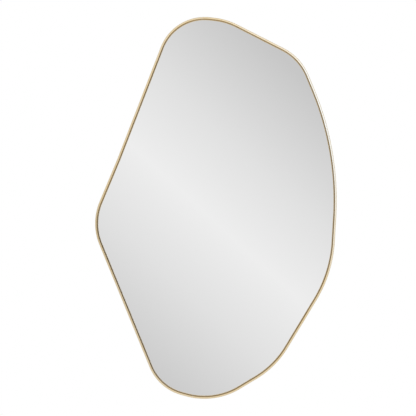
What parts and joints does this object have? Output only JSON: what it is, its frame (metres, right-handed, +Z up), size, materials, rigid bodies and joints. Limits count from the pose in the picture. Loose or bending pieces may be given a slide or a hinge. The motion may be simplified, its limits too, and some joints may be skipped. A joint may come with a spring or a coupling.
{
  "type": "irregular shaped wall mirror",
  "caption": "Wall mirror with an irregular, rounded outline and a slim gold metal frame, hung on swinging D-rings at the back.",
  "frame": {"origin": "the point on the wall midway between the two hooks that the mirror hangs on", "axes": "+X to the right as seen from the front, +Y into the wall, +Z up; the glass faces -Y"},
  "size_m": [0.5768, 0.028, 0.912],
  "materials": {
    "frame_gold": "satin pale gold anodised, bright along the outer land",
    "silvered_glass": "polished float glass, silvered behind",
    "tape_white": "double-sided foam tape",
    "board_black": "fibreboard, painted matt black behind, raw brown at the edge",
    "zinc": "zinc-plated pressed steel",
    "dark_steel": "blackened steel screws",
    "bumper_rubber": "matt black rubber"
  },
  "bodies": {
    "mirror": {"frame_left": "frame_gold", "frame_right": "frame_gold", "splice_plate_top": "zinc", "splice_plate_bottom": "zinc", "splice_screw_top_1": "zinc", "splice_screw_top_2": "zinc", "splice_screw_top_3": "zinc", "splice_screw_top_4": "zinc", "splice_screw_bottom_1": "zinc", "splice_screw_bottom_2": "zinc", "splice_screw_bottom_3": "zinc", "splice_screw_bottom_4": "zinc", "mirror_glass": "silvered_glass", "mounting_tape_1": "tape_white", "mounting_tape_2": "tape_white", "mounting_tape_3": "tape_white", "mounting_tape_4": "tape_white", "backing_board": "board_black", "retaining_clip_1": "zinc", "retaining_clip_2": "zinc", "retaining_clip_3": "zinc", "retaining_clip_4": "zinc", "retaining_clip_5": "zinc", "retaining_clip_6": "zinc", "retaining_clip_7": "zinc", "retaining_clip_8": "zinc", "clip_screw_1": "dark_steel", "clip_screw_2": "dark_steel", "clip_screw_3": "dark_steel", "clip_screw_4": "dark_steel", "clip_screw_5": "dark_steel", "clip_screw_6": "dark_steel", "clip_screw_7": "dark_steel", "clip_screw_8": "dark_steel", "hanger_strap_left": "zinc", "hanger_strap_right": "zinc", "strap_screw_left_1": "dark_steel", "strap_screw_left_2": "dark_steel", "strap_screw_right_1": "dark_steel", "strap_screw_right_2": "dark_steel", "bumper_upper_left": "bumper_rubber", "bumper_upper_right": "bumper_rubber", "bumper_lower_left": "bumper_rubber", "bumper_lower_right": "bumper_rubber"},
    "ring_left": {"d_ring_left": "zinc"},
    "ring_right": {"d_ring_right": "zinc"}
  },
  "joints": [
    {"name": "left_ring_swing", "type": "hinge", "parent": "mirror", "child": "ring_left", "pos_m": [-0.14, -0.0071, -0.0204], "axis": [1, 0, 0], "range_deg": [0, 178]},
    {"name": "right_ring_swing", "type": "hinge", "parent": "mirror", "child": "ring_right", "pos_m": [0.14, -0.0071, -0.0204], "axis": [1, 0, 0], "range_deg": [0, 178]}
  ]
}
